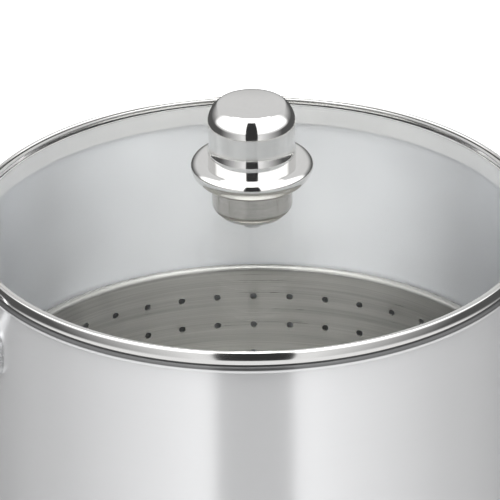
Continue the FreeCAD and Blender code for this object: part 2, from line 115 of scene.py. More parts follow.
def placeMesh(piece):
    pickOnly(piece)
    bpy.ops.object.transform_apply(location=True, rotation=True, scale=True)


# outlines in the r-z plane, in metres

def polar(centre, radius, degrees):
    turn = math.radians(degrees)
    return (centre[0] + radius * math.cos(turn), centre[1] + radius * math.sin(turn))


def arcPoints(centre, radius, start, end, steps):
    return [polar(centre, radius, start + (end - start) * k / steps) for k in range(steps + 1)]


def threePointArc(a, b, c, steps):
    # points on the circle through a, b and c
    ax, ay, bx, by, cx, cy = *a, *b, *c
    d = 2 * (ax * (by - cy) + bx * (cy - ay) + cx * (ay - by))
    ux = ((ax**2 + ay**2) * (by - cy) + (bx**2 + by**2) * (cy - ay) + (cx**2 + cy**2) * (ay - by)) / d
    uy = ((ax**2 + ay**2) * (cx - bx) + (bx**2 + by**2) * (ax - cx) + (cx**2 + cy**2) * (bx - ax)) / d
    radius = math.hypot(ax - ux, ay - uy)
    angles = [math.degrees(math.atan2(p[1] - uy, p[0] - ux)) for p in (a, b, c)]
    while angles[1] - angles[0] > 180:
        angles[1] -= 360
    while angles[1] - angles[0] < -180:
        angles[1] += 360
    while angles[2] - angles[1] > 180:
        angles[2] -= 360
    while angles[2] - angles[1] < -180:
        angles[2] += 360
    return arcPoints((ux, uy), radius, angles[0], angles[2], steps)


def domeLine(top, sphere, start, end, steps):
    # the crown of a sphere, from one radius to another
    radii = [start + (end - start) * k / steps for k in range(steps + 1)]
    return [(r, top - sphere + math.sqrt(sphere**2 - r**2)) for r in radii]


def held(a, b, gap=0.8 * mm):
    # a straight run with a holding point just inside each end, so that its shading stays flat
    share = gap / math.dist(a, b)
    if share > 0.3:       # too short a run to hold
        return [a, b]
    inner = [tuple(p + (q - p) * s for p, q in zip(a, b)) for s in (share, 1 - share)]
    return [a, *inner, b]


def turnOutline(name, outline, steps=180):
    # a single point is drawn out along the outline, then spun once round the Z axis
    clearSelection()
    bpy.ops.mesh.primitive_plane_add(size=0.01)
    piece = bpy.context.object
    bpy.ops.object.mode_set(mode="EDIT")
    bpy.ops.mesh.select_mode(type="VERT")
    bpy.ops.mesh.merge(type="CENTER")
    bpy.ops.transform.translate(value=(outline[0][0], 0, outline[0][1]))
    for before, after in zip(outline, outline[1:]):
        step = (after[0] - before[0], 0, after[1] - before[1])
        if Vector(step).length > 1e-6:
            bpy.ops.mesh.extrude_vertices_move(TRANSFORM_OT_translate={"value": step})
    bpy.ops.mesh.select_all(action="SELECT")
    bpy.ops.mesh.spin(steps=steps, angle=math.tau, center=(0, 0, 0), axis=(0, 0, 1))
    bpy.ops.mesh.select_all(action="SELECT")
    bpy.ops.mesh.remove_doubles(threshold=weld)
    bpy.ops.mesh.normals_make_consistent(inside=False)
    return finishMesh(piece, name)


# shader helpers

def addNode(tree, kind, inputs=None, **settings):
    made = tree.nodes.new(kind)
    for key, value in settings.items():
        setattr(made, key, value)
    for key, value in (inputs or {}).items():
        if isinstance(value, bpy.types.NodeSocket):
            tree.links.new(value, made.inputs[key])
        else:
            made.inputs[key].default_value = value
    return made


def maths(tree, operation, *values):
    return addNode(tree, "ShaderNodeMath", dict(enumerate(values)), operation=operation).outputs[0]


def softStep(tree, value, low, high):
    # 0 below low, 1 above high, smooth between
    return addNode(tree, "ShaderNodeMapRange", {"Value": value, "From Min": low, "From Max": high},
                   interpolation_type="SMOOTHSTEP").outputs[0]


def remap(tree, value, low, high, toLow, toHigh):
    return addNode(tree, "ShaderNodeMapRange", {"Value": value, "From Min": low, "From Max": high,
                                                "To Min": toLow, "To Max": toHigh}).outputs[0]


def newMaterial(name):
    made = bpy.data.materials.new(name)
    made.use_nodes = True
    tree = made.node_tree
    tree.nodes.clear()
    output = addNode(tree, "ShaderNodeOutputMaterial")
    return made, tree, output


noiseRange = (0.3, 0.7)      # where most of a noise's values lie


def noise(tree, vector, scale, detail=3.0, roughness=0.55):
    return addNode(tree, "ShaderNodeTexNoise", {"Vector": vector, "Scale": scale, "Detail": detail,
                                                "Roughness": roughness}).outputs["Fac"]


# camera, at the angle that the object is looked at from

cameraView = {
    "heading": -4.0,          # degrees, 0 looks along +Y
    "distance": 6.576,        # metres from the lid's middle
    "height": 26.80,          # degrees above the lid's plane
    "tilt": 26.937,           # degrees downward
    "roll": -0.67,            # degrees
    "aside": -0.0017,         # metres to the right
    "lens": 824.8,            # millimetres, as the sensor
    "sensor": 36.0,
    "lidPlane": 0.2574,       # metres, the lid's level in the frame
}


def makeCamera(look):
    height, tilt, roll, heading = (math.radians(look[k]) for k in ("height", "tilt", "roll", "heading"))
    eye = Vector((look["aside"], -look["distance"] * math.cos(height),
                  look["lidPlane"] + look["distance"] * math.sin(height)))
    across = Vector((1, 0, 0))
    above = Vector((0, math.sin(tilt), math.cos(tilt)))
    right = across * math.cos(roll) + above * math.sin(roll)
    up = above * math.cos(roll) - across * math.sin(roll)
    back = right.cross(up)
    pose = Matrix.Identity(4)
    for row in range(3):
        pose[row][0], pose[row][1], pose[row][2], pose[row][3] = right[row], up[row], back[row], eye[row]
    data = bpy.data.cameras.new("camera")
    data.lens = look["lens"]
    data.sensor_width = look["sensor"]
    data.clip_start = 0.05
    data.clip_end = 60
    camera = bpy.data.objects.new("camera", data)
    camera.matrix_world = Matrix.Rotation(heading, 4, "Z") @ pose
    bpy.context.scene.collection.objects.link(camera)
    bpy.context.scene.camera = camera


makeCamera(cameraView)
print("camera ready")


# studio: a plain pale floor and a soft surround with two wide lights and a dark gap in front

studio = {
    # degrees are counted to either side of the camera and above the horizon
    "heading": -4.0,
    "slitHalf": 15.4, "slitEdge": 0.8, "slitLow": -38.0, "slitHigh": 58.0, "slitSoft": 1.5,
    "boxFar": 108.0, "farSoft": 8.0, "boxLow": 6.0, "boxHigh": 62.0, "boxSoft": 4.0,
    "topLow": 62.0, "topSoft": 3.0, "zenithLow": 74.0, "zenithHigh": 84.0,
    "backLow": 4.0, "backHigh": 24.0, "horizonSoft": 3.0,
    "groundNear": 24.0, "groundTurn": 84.0, "deepTop": -34.0, "deepSoft": 13.0,
    # strengths of light
    "slitLight": 0.04, "boxLight": 1.75, "topLight": 4.8, "zenithLight": 1.2,
    "sideLight": 0.8, "backLight": 0.74, "backLowLight": 0.22, "surround": 1.0,
    "groundFront": 0.93, "groundSide": 0.1, "groundDeep": 0.95, "groundEase": 0.8,
}


def makeWorld(s):
    world = bpy.data.worlds.new("studio")
    bpy.context.scene.world = world
    world.use_nodes = True
    tree = world.node_tree
    tree.nodes.clear()
    way = addNode(tree, "ShaderNodeTexCoord").outputs["Generated"]
    turned = addNode(tree, "ShaderNodeVectorRotate",
                     {"Vector": way, "Axis": (0, 0, 1), "Angle": -math.radians(s["heading"])},
                     rotation_type="AXIS_ANGLE")
    split = addNode(tree, "ShaderNodeSeparateXYZ", {"Vector": turned.outputs[0]}).outputs
    toFront = maths(tree, "MULTIPLY", split["Y"], -1.0)
    side = maths(tree, "DEGREES", maths(tree, "ABSOLUTE", maths(tree, "ARCTAN2", split["X"], toFront)))
    lift = maths(tree, "DEGREES", maths(tree, "ARCSINE", split["Z"]))

    def between(value, low, high, soft):
        rises = softStep(tree, value, low - soft, low + soft)
        falls = softStep(tree, value, high + soft, high - soft)
        return maths(tree, "MULTIPLY", rises, falls)

    # ground below the horizon, bright in front and straight down, dimmer to the sides
    fade = remap(tree, side, s["groundNear"], s["groundTurn"], 0.0, 1.0)
    eased = maths(tree, "POWER", fade, s["groundEase"])
    aside = remap(tree, eased, 0.0, 1.0, s["groundFront"], s["groundSide"])
    isDeep = softStep(tree, lift, s["deepTop"], s["deepTop"] - s["deepSoft"])
    ground = addNode(tree, "ShaderNodeMix", {"Factor": isDeep, 2: aside, 3: s["groundDeep"]},
                     data_type="FLOAT").outputs[0]
    # behind the object the walls are dim low down and brighter above
    behind = remap(tree, lift, s["backLow"], s["backHigh"], s["backLowLight"], s["backLight"])
    isBehind = softStep(tree, side, s["boxFar"] - s["farSoft"], s["boxFar"] + s["farSoft"])
    lowSky = addNode(tree, "ShaderNodeMix", {"Factor": isBehind, 2: s["sideLight"], 3: behind},
                     data_type="FLOAT").outputs[0]
    isTop = softStep(tree, lift, s["topLow"] - s["topSoft"], s["topLow"] + s["topSoft"])
    aboveFront = addNode(tree, "ShaderNodeMix", {"Factor": isTop, 2: lowSky, 3: s["topLight"]},
                         data_type="FLOAT").outputs[0]
    # straight overhead the light is plain again, so that flat steel isn't bleached from above
    isZenith = softStep(tree, lift, s["zenithLow"], s["zenithHigh"])
    aboveFront = addNode(tree, "ShaderNodeMix", {"Factor": isZenith, 2: aboveFront, 3: s["zenithLight"]},
                         data_type="FLOAT").outputs[0]
    isAbove = softStep(tree, lift, -s["horizonSoft"], s["horizonSoft"])
    plain = addNode(tree, "ShaderNodeMix", {"Factor": isAbove, 2: ground, 3: aboveFront},
                    data_type="FLOAT").outputs[0]
    box = maths(tree, "MULTIPLY", between(lift, s["boxLow"], s["boxHigh"], s["boxSoft"]),
                maths(tree, "SUBTRACT", 1.0, isBehind))
    lit = addNode(tree, "ShaderNodeMix", {"Factor": box, 2: plain, 3: s["boxLight"]},
                  data_type="FLOAT").outputs[0]
    slit = maths(tree, "MULTIPLY", between(lift, s["slitLow"], s["slitHigh"], s["slitSoft"]),
                 softStep(tree, side, s["slitHalf"] + s["slitEdge"], s["slitHalf"] - s["slitEdge"]))
    whole = addNode(tree, "ShaderNodeMix", {"Factor": slit, 2: lit, 3: s["slitLight"]},
                    data_type="FLOAT").outputs[0]
    seen = addNode(tree, "ShaderNodeLightPath").outputs["Is Camera Ray"]
    shown = addNode(tree, "ShaderNodeMix", {"Factor": seen, 2: whole, 3: s["surround"]},
                    data_type="FLOAT").outputs[0]
    glow = addNode(tree, "ShaderNodeBackground", {"Color": (1, 1, 1, 1), "Strength": shown})
    output = addNode(tree, "ShaderNodeOutputWorld")
    tree.links.new(glow.outputs[0], output.inputs["Surface"])


studioFloor = {"size": 14.0, "colour": (0.93, 0.93, 0.93, 1.0), "glow": 0.32, "rough": 0.8, "shine": 0.1,
               "mottleScale": 3.0, "mottleShade": 0.94}


def makeFloor(s):
    clearSelection()
    bpy.ops.mesh.primitive_plane_add(size=s["size"], location=(0, 0, cadBox[0][2]))
    floor = bpy.context.object
    floor.name = "studioFloor"
    made, tree, output = newMaterial("paleFloor")
    place = addNode(tree, "ShaderNodeTexCoord").outputs["Object"]
    mottle = remap(tree, noise(tree, place, s["mottleScale"]), *noiseRange, s["mottleShade"], 1.0)
    tint = addNode(tree, "ShaderNodeMix", {"Factor": 1.0, 6: s["colour"]}, data_type="RGBA",
                   blend_type="MULTIPLY")
    grey = addNode(tree, "ShaderNodeCombineColor", {0: mottle, 1: mottle, 2: mottle}).outputs[0]
    tree.links.new(grey, tint.inputs[7])
    shader = addNode(tree, "ShaderNodeBsdfPrincipled",
                     {"Base Color": tint.outputs[2], "Roughness": s["rough"],
                      "Specular IOR Level": s["shine"], "Emission Color": (1, 1, 1, 1),
                      "Emission Strength": s["glow"]})
    tree.links.new(shader.outputs[0], output.inputs["Surface"])
    floor.data.materials.append(made)
    floor.visible_glossy = False


makeWorld(studio)
makeFloor(studioFloor)
bpy.context.scene.view_settings.view_transform = "Standard"
print("studio ready")


# steels

def turnedLines(tree, fine, length):
    # texture space whose lines run round the Z axis, on walls and flat faces alike
    place = addNode(tree, "ShaderNodeTexCoord").outputs["Object"]
    split = addNode(tree, "ShaderNodeSeparateXYZ", {"Vector": place}).outputs
    level = addNode(tree, "ShaderNodeCombineXYZ", {"X": split["X"], "Y": split["Y"]}).outputs[0]
    radius = addNode(tree, "ShaderNodeVectorMath", {0: level}, operation="LENGTH").outputs["Value"]
    around = addNode(tree, "ShaderNodeVectorMath", {0: level}, operation="NORMALIZE").outputs[0]
    angle = addNode(tree, "ShaderNodeSeparateXYZ", {"Vector": around}).outputs
    across = maths(tree, "MULTIPLY", maths(tree, "ADD", split["Z"], radius), fine)
    return addNode(tree, "ShaderNodeCombineXYZ",
                   {"X": maths(tree, "MULTIPLY", angle["X"], length),
                    "Y": maths(tree, "MULTIPLY", angle["Y"], length), "Z": across}).outputs[0]


def acrossTangent(tree):
    # direction across the brushing: square to the circle round Z and to the surface
    place = addNode(tree, "ShaderNodeTexCoord").outputs["Object"]
    split = addNode(tree, "ShaderNodeSeparateXYZ", {"Vector": place}).outputs
    along = addNode(tree, "ShaderNodeCombineXYZ", {"X": maths(tree, "MULTIPLY", split["Y"], -1.0),
                                                   "Y": split["X"], "Z": 0.0}).outputs[0]
    normal = addNode(tree, "ShaderNodeNewGeometry").outputs["Normal"]
    crossed = addNode(tree, "ShaderNodeVectorMath", {0: along, 1: normal}, operation="CROSS_PRODUCT")
    return addNode(tree, "ShaderNodeVectorMath", {0: crossed.outputs[0]}, operation="NORMALIZE").outputs[0]


coarseGrain = 0.12           # scale of the broad mottle, against the fine grain's
innerEdge = 0.1 * mm         # half the width over which the inside's finish takes over
patchRange = (0.35, 0.65)
smudgeRange = (0.35, 0.7)


def steelMaterial(look):
    made, tree, output = newMaterial(look["name"])
    place = addNode(tree, "ShaderNodeTexCoord").outputs["Object"]
    if look["brushed"]:
        fineLines = noise(tree, turnedLines(tree, look["lineDensity"], look["lineLength"]), 1.0, 5.0, 0.65)
        broadLines = noise(tree, turnedLines(tree, look["bandDensity"], look["bandLength"]), 1.0, 3.0, 0.6)
    else:
        fineLines = noise(tree, place, look["grain"], 4.0, 0.6)
        broadLines = noise(tree, place, look["grain"] * coarseGrain, 2.0, 0.5)
    smudge = noise(tree, place, look["smudgeScale"], 3.0, 0.6)
    tone = maths(tree, "ADD", remap(tree, fineLines, *noiseRange, -look["lineTone"], look["lineTone"]),
                 remap(tree, broadLines, *noiseRange, -look["bandTone"], look["bandTone"]))
    shade = maths(tree, "ADD", tone, 1.0)
    grey = addNode(tree, "ShaderNodeCombineColor", {0: shade, 1: shade, 2: shade}).outputs[0]
    colour = addNode(tree, "ShaderNodeMix", {"Factor": 1.0, 6: look["colour"], 7: grey},
                     data_type="RGBA", blend_type="MULTIPLY").outputs[2]
    if "innerRough" in look:
        # the drawn inside keeps a coarser, paler satin than the outside
        split = addNode(tree, "ShaderNodeSeparateXYZ", {"Vector": place}).outputs
        radius = maths(tree, "SQRT", maths(tree, "ADD", maths(tree, "MULTIPLY", split["X"], split["X"]),
                                           maths(tree, "MULTIPLY", split["Y"], split["Y"])))
        inside = softStep(tree, radius, look["innerRadius"] + innerEdge, look["innerRadius"] - innerEdge)
        patch = remap(tree, noise(tree, place, look["patchScale"], 2.0, 0.5), *patchRange,
                      1.0 - look["innerPatch"], 1.0)
        paler = addNode(tree, "ShaderNodeVectorMath", {0: look["innerColour"][:3], "Scale": patch},
                        operation="SCALE").outputs[0]
        colour = addNode(tree, "ShaderNodeMix", {"Factor": inside, 6: colour, 7: paler},
                         data_type="RGBA").outputs[2]
    smudged = remap(tree, smudge, *smudgeRange, look["rough"], look["rough"] + look["smudge"])
    rough = maths(tree, "ADD", smudged,
                  remap(tree, fineLines, *noiseRange, -look["lineRough"], look["lineRough"]))
    metal = look.get("metal", 1.0)
    if "innerRough" in look:
        rough = addNode(tree, "ShaderNodeMix", {"Factor": inside, 2: rough, 3: look["innerRough"]},
                        data_type="FLOAT").outputs[0]
        metal = remap(tree, inside, 0.0, 1.0, metal, 1.0)
    bump = addNode(tree, "ShaderNodeBump", {"Strength": look["bump"], "Distance": look["bumpDepth"],
                                            "Height": fineLines})
    if "paintedShadeHeight" in look:
        # painted shade at the rolled rims: above this height the steel's colour is darkened to stand in for
        # shade, under the lid band on the pot and along the basket's rim curl
        height = addNode(tree, "ShaderNodeSeparateXYZ", {"Vector": place}).outputs["Z"]
        below = softStep(tree, height, look["paintedShadeHeight"] + look["paintedShadeSoft"],
                         look["paintedShadeHeight"] - look["paintedShadeSoft"])
        paintedShadeDim = remap(tree, below, 0.0, 1.0, look["paintedShadeLevel"], 1.0)
        paintedShadeGrey = addNode(tree, "ShaderNodeCombineColor", {0: paintedShadeDim, 1: paintedShadeDim, 2: paintedShadeDim}).outputs[0]
        colour = addNode(tree, "ShaderNodeMix", {"Factor": 1.0, 6: colour, 7: paintedShadeGrey},
                         data_type="RGBA", blend_type="MULTIPLY").outputs[2]
    shader = addNode(tree, "ShaderNodeBsdfPrincipled",
                     {"Base Color": colour, "Metallic": metal, "Roughness": rough, "Normal": bump.outputs[0],
                      "Anisotropic": look["anisotropy"]})
    if look["brushed"]:
        tree.links.new(acrossTangent(tree), shader.inputs["Tangent"])
    tree.links.new(shader.outputs[0], output.inputs["Surface"])
    return made


satinLook = {
    "name": "satinSteel", "brushed": True, "colour": (0.70, 0.703, 0.71, 1.0), "anisotropy": 0.95,
    "lineDensity": 900.0, "lineLength": 1.2, "bandDensity": 120.0, "bandLength": 0.6,
    "lineTone": 0.004, "bandTone": 0.002, "smudgeScale": 5.0, "rough": 0.28, "smudge": 0.0,
    "lineRough": 0.0, "bump": 0.0, "bumpDepth": 0.00001, "metal": 0.66,
    "innerRadius": 0.1614, "innerRough": 0.42,
    "innerColour": (0.95, 0.965, 0.99, 1.0), "innerPatch": 0.17, "patchScale": 8.0,
    # painted shade: the pot's rolled rim is darkened in colour to stand in for the shadowed gap under the
    # lid band
    "paintedShadeHeight": 0.2477, "paintedShadeSoft": 0.0004, "paintedShadeLevel": 0.16,
}
basketLook = {
    "name": "basketSteel", "brushed": True, "colour": (0.49, 0.485, 0.465, 1.0), "anisotropy": 0.75,
    "lineDensity": 1500.0, "lineLength": 1.1, "bandDensity": 170.0, "bandLength": 0.7,
    "lineTone": 0.16, "bandTone": 0.09, "smudgeScale": 18.0, "rough": 0.3, "smudge": 0.08,
    "lineRough": 0.05, "bump": 0.25, "bumpDepth": 0.00003,
    # painted shade: the basket's rim curl is darkened in colour to stand in for shade along it
    "paintedShadeHeight": 0.1471, "paintedShadeSoft": 0.0006, "paintedShadeLevel": 0.7,
}
bandLook = {
    "name": "bandSteel", "brushed": True, "colour": (0.78, 0.775, 0.765, 1.0), "anisotropy": 0.3,
    "lineDensity": 3200.0, "lineLength": 2.2, "bandDensity": 300.0, "bandLength": 1.2,
    "lineTone": 0.02, "bandTone": 0.02, "smudgeScale": 30.0, "rough": 0.09, "smudge": 0.05,
    "lineRough": 0.02, "bump": 0.04, "bumpDepth": 0.00001,
    "innerRadius": 0.1603, "innerRough": 0.5, "innerColour": (0.95, 0.95, 0.95, 1.0), "innerPatch": 0.06,
    "patchScale": 20.0,
}
polishedLook = {
    "name": "polishedSteel", "brushed": True, "colour": (0.80, 0.795, 0.785, 1.0), "anisotropy": 0.2,
    "lineDensity": 3200.0, "lineLength": 2.2, "bandDensity": 300.0, "bandLength": 1.2,
    "lineTone": 0.02, "bandTone": 0.01, "smudgeScale": 30.0, "rough": 0.055, "smudge": 0.05,
    "lineRough": 0.02, "bump": 0.05, "bumpDepth": 0.00001,
}
cupLook = {
    "name": "cupSteel", "brushed": True, "colour": (0.50, 0.485, 0.46, 1.0), "anisotropy": 0.3,
    "lineDensity": 2600.0, "lineLength": 1.6, "bandDensity": 420.0, "bandLength": 1.1,
    "lineTone": 0.05, "bandTone": 0.05, "smudgeScale": 40.0, "rough": 0.1, "smudge": 0.06,
    "lineRough": 0.03, "bump": 0.08, "bumpDepth": 0.00001,
}
castLook = {
    "name": "handleSteel", "brushed": False, "colour": (0.62, 0.625, 0.63, 1.0), "anisotropy": 0.0,
    "grain": 420.0, "lineTone": 0.03, "bandTone": 0.02, "smudgeScale": 40.0, "rough": 0.2, "smudge": 0.09,
    "lineRough": 0.04, "bump": 0.12, "bumpDepth": 0.00003,
}
platedLook = {
    "name": "platedSteel", "brushed": False, "colour": (0.68, 0.69, 0.71, 1.0), "anisotropy": 0.0,
    "grain": 900.0, "lineTone": 0.04, "bandTone": 0.03, "smudgeScale": 60.0, "rough": 0.26, "smudge": 0.12,
    "lineRough": 0.05, "bump": 0.15, "bumpDepth": 0.00002,
}
aluminiumLook = {
    "name": "rolledAluminium", "brushed": False, "colour": (0.80, 0.81, 0.82, 1.0), "anisotropy": 0.0,
    "grain": 700.0, "lineTone": 0.05, "bandTone": 0.03, "smudgeScale": 35.0, "rough": 0.38, "smudge": 0.12,
    "lineRough": 0.06, "bump": 0.3, "bumpDepth": 0.00003,
}
satinSteel = steelMaterial(satinLook)
basketSteel = steelMaterial(basketLook)
polishedSteel = steelMaterial(polishedLook)
bandSteel = steelMaterial(bandLook)
cupSteel = steelMaterial(cupLook)
handleSteel = steelMaterial(castLook)
platedSteel = steelMaterial(platedLook)
rolledAluminium = steelMaterial(aluminiumLook)


def glassMaterial(look):
    # clear pane that lets the lamps through
    made, tree, output = newMaterial("clearGlass")
    place = addNode(tree, "ShaderNodeTexCoord").outputs["Object"]
    haze = remap(tree, noise(tree, place, look["hazeScale"]), *look["hazeRange"],
                 look["rough"], look["haze"])
    pane = addNode(tree, "ShaderNodeBsdfPrincipled",
                   {"Base Color": look["colour"], "Roughness": haze, "IOR": look["ior"],
                    "Transmission Weight": 1.0})
    through = addNode(tree, "ShaderNodeBsdfTransparent", {"Color": look["shadow"]})
    ray = addNode(tree, "ShaderNodeLightPath").outputs["Is Shadow Ray"]
    mixed = addNode(tree, "ShaderNodeMixShader", {0: ray, 1: pane.outputs[0], 2: through.outputs[0]})
    tree.links.new(mixed.outputs[0], output.inputs["Surface"])
    return made


glassLook = {
    "colour": (0.985, 0.99, 0.985, 1.0), "rough": 0.0, "haze": 0.02, "hazeScale": 9.0,
    "hazeRange": (0.45, 0.75), "ior": 1.12, "shadow": (0.97, 0.97, 0.97, 1.0),
}
clearGlass = glassMaterial(glassLook)


def siliconeMaterial(look):
    made, tree, output = newMaterial("softSilicone")
    place = addNode(tree, "ShaderNodeTexCoord").outputs["Object"]
    cloud = noise(tree, place, look["cloudScale"])
    colour = addNode(tree, "ShaderNodeMix", {"Factor": cloud, 6: look["pale"], 7: look["dull"]},
                     data_type="RGBA").outputs[2]
    bump = addNode(tree, "ShaderNodeBump", {"Strength": look["bump"], "Distance": look["bumpDepth"],
                                            "Height": noise(tree, place, look["grain"])})
    rough = remap(tree, cloud, *noiseRange, look["roughLow"], look["roughHigh"])
    shader = addNode(tree, "ShaderNodeBsdfPrincipled",
                     {"Base Color": colour, "Roughness": rough, "Subsurface Weight": look["depth"],
                      "Subsurface Scale": 2 * mm, "Normal": bump.outputs[0]})
    tree.links.new(shader.outputs[0], output.inputs["Surface"])
    return made


siliconeLook = {
    "pale": (0.52, 0.52, 0.51, 1.0), "dull": (0.40, 0.40, 0.39, 1.0), "cloudScale": 60.0,
    "grain": 900.0, "bump": 0.2, "bumpDepth": 0.00003, "roughLow": 0.42, "roughHigh": 0.55, "depth": 0.15,
}
softSilicone = siliconeMaterial(siliconeLook)
print("materials ready")


def dress(piece, material):
    piece.data.materials.clear()
    piece.data.materials.append(material)
    return piece


# pot

potSizes = {"outer": 161.8 * mm, "sheet": 0.8 * mm, "corner": 12.8 * mm, "roll": 2.4 * mm, "rollEnd": -75}


def makePot(s):
    low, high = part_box("pot_body")
    floor, top = low.z, high.z
    inner = s["outer"] - s["sheet"]
    rollCentre = (inner + s["roll"], top - s["roll"])
    bend = (s["outer"] - s["corner"], floor + s["corner"])
    outline = held((0, floor), (bend[0], floor))
    outline += arcPoints(bend, s["corner"], -90, 0, 12)
    outline += held((s["outer"], bend[1]), (s["outer"], rollCentre[1]))
    outline += arcPoints(rollCentre, s["roll"] - s["sheet"], 180, s["rollEnd"], 20)
    outline += arcPoints(rollCentre, s["roll"], s["rollEnd"], 180, 24)
    outline += held((inner, rollCentre[1]), (inner, bend[1]))
    outline += arcPoints(bend, s["corner"] - s["sheet"], 0, -90, 12)
    outline += held((bend[0], floor + s["sheet"]), (0, floor + s["sheet"]))
    pot = turnOutline("potShell", outline)
    dress(pot, satinSteel)
    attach(pot, "pot")
    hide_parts("pot_body")


capSizes = {"sheet": 0.6 * mm, "bend": 3.2 * mm}


def makeBaseCap(s):
    low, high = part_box("base_cap")
    outer, top, bottom = high.x, high.z, low.z
    bend = (outer - s["bend"], bottom + s["bend"])
    inside = s["bend"] - s["sheet"]
    outline = held((0, bottom), (bend[0], bottom))
    outline += arcPoints(bend, s["bend"], -90, 0, 8)
    outline += [(outer, top), (outer - s["sheet"], top)]
    outline += arcPoints(bend, inside, 0, -90, 8)
    outline += held((bend[0], bottom + s["sheet"]), (0, bottom + s["sheet"]))
    cap = turnOutline("baseCap", outline)
    dress(cap, satinSteel)
    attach(cap, "pot")
    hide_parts("base_cap")


makePot(potSizes)
makeBaseCap(capSizes)
print("pot ready")


# lid: rim band, pane and the knob's three shells

bandSizes = {"sheet": 0.6 * mm, "bead": 1.0 * mm, "lip": 1.6 * mm, "glassRadius": 162.0 * mm,
             "groove": 0.6 * mm, "grooveDepth": 0.8 * mm, "skirt": 160.0 * mm, "pane": 4.0 * mm,
             "tuck": 1.8 * mm, "footBend": 0.9 * mm, "restGap": 0.1 * mm, "lipCorner": 0.2 * mm,
             "bendEnd": 20, "fineHold": 0.1 * mm}


def makeBand(s):
    low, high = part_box("lid_rim_band")
    t, out = s["sheet"], high.x
    lipIn, lipOut = s["glassRadius"] - s["lip"], s["glassRadius"] + t
    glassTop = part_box("lid_glass")[0].z + s["pane"]
    floor = glassTop - s["grooveDepth"]
    bead = (lipOut + s["groove"] + s["bead"], high.z - s["bead"])
    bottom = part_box("pot_body")[1].z + s["restGap"]
    foot = (out - s["tuck"], bottom + s["footBend"])
    end, corner, hold = s["bendEnd"], s["lipCorner"], s["fineHold"]
    shoulder, heel = polar(bead, s["bead"], end), polar(foot, s["footBend"], -end)
    belly = (out, (shoulder[1] + heel[1]) / 2)
    skirtIn, throat, seat = s["skirt"] - t, bead[0] - s["bead"], low.z
    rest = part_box("lid_glass")[0].z
    outline = held((lipIn, glassTop), (lipIn, glassTop + t), hold)
    outline += [(lipOut - corner, glassTop + t), (lipOut, glassTop + t - corner)]
    outline += held((lipOut, floor), (throat, floor), hold)
    outline += arcPoints(bead, s["bead"], 180, end, 16)
    outline += threePointArc(shoulder, belly, heel, 14)
    outline += arcPoints(foot, s["footBend"], -end, -90, 6)
    outline += held((foot[0], bottom), (s["skirt"], bottom))
    outline += held((s["skirt"], bottom), (s["skirt"], seat))
    outline += held((skirtIn, seat), (skirtIn, rest))
    outline += [(s["glassRadius"], rest), (s["glassRadius"], bottom + t), (foot[0], bottom + t)]
    outline += arcPoints(foot, s["footBend"] - t, -90, -end, 4)
    outline += threePointArc(polar(foot, s["footBend"] - t, -end), (belly[0] - t, belly[1]),
                             polar(bead, s["bead"] - t, end), 10)
    outline += arcPoints(bead, s["bead"] - t, end, 180, 10)
    outline += [(throat + t, floor - t), (s["glassRadius"], floor - t), (s["glassRadius"], glassTop)]
    outline += [(lipIn, glassTop)]
    band = turnOutline("lidBand", outline, steps=240)
    dress(band, bandSteel)
    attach(band, "lid")
    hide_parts("lid_rim_band")


paneSizes = {"thickness": 4.0 * mm, "radius": 162.0 * mm, "hole": 5.0 * mm, "seatIn": 159.1 * mm,
             "ledge": 2.6 * mm, "steps": 36}


def makePane(s):
    low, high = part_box("lid_glass")
    edgeTop, top = low.z + s["thickness"], high.z
    # the top face is part of a sphere, worked out from how far its crown rises over the edge
    rise = top - edgeTop
    sphere = (s["radius"]**2 + rise**2) / (2 * rise)
    rim = s["radius"] - s["ledge"]
    outline = domeLine(top, sphere, s["hole"], rim, s["steps"])
    outline += [(s["radius"], edgeTop), (s["radius"], low.z), (s["seatIn"], low.z)]
    outline += domeLine(top - s["thickness"], sphere, s["seatIn"], s["hole"], s["steps"])
    outline += [outline[0]]
    pane = turnOutline("glassPane", outline, steps=180)
    dress(pane, clearGlass)
    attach(pane, "lid")
    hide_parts("lid_glass")


makeBand(bandSizes)
makePane(paneSizes)

capShape = {
    "wall": 1.0 * mm, "crown": 19.6 * mm, "crownSphere": 350.0 * mm, "crease": 0.35 * mm,
    "side": (23.9 * mm, 328.1 * mm), "shoulder": 321.6 * mm, "waist": 24.7 * mm, "waistLevel": 311.5 * mm,
    "flare": (24.75 * mm, 307.95 * mm), "foot": 304.4 * mm, "footHold": 0.4 * mm,
    "innerSide": (23.0 * mm, 327.6 * mm), "innerCrown": 19.2 * mm,
}


def makeKnobCap(s):
    low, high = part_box("knob_cap")
    r, w, t = high.x, s["waist"], s["wall"]
    drop = s["crownSphere"] - math.sqrt(s["crownSphere"]**2 - s["crown"]**2)
    crown = high.z - drop
    shoulder = threePointArc((s["crown"], crown), s["side"], (r, s["shoulder"]), 18)
    outline = domeLine(high.z, s["crownSphere"], 0, s["crown"] - s["crease"], 10)
    # the crown meets the side in a fine crease
    outline += [(s["crown"], crown - 0.2 * s["crease"]), *shoulder[1:]]
    outline += held((r, s["shoulder"]), (w, s["waistLevel"]))[1:]
    outline += threePointArc((w, s["waistLevel"]), s["flare"], (r, s["foot"]), 14)[1:]
    outline += held((r, s["foot"]), (r, low.z), s["footHold"])
    outline += [(r - t, low.z), (r - t, s["foot"])]
    outline += threePointArc((r - t, s["foot"]), (w - t, s["waistLevel"]), (r - t, s["shoulder"]), 12)
    outline += threePointArc((r - t, s["shoulder"]), s["innerSide"], (s["innerCrown"], crown - t), 12)
    outline += domeLine(high.z - t, s["crownSphere"], s["innerCrown"], 0, 8)
    cap = turnOutline("knobCap", outline, steps=144)
    dress(cap, polishedSteel)
    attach(cap, "lid")
    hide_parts("knob_cap")


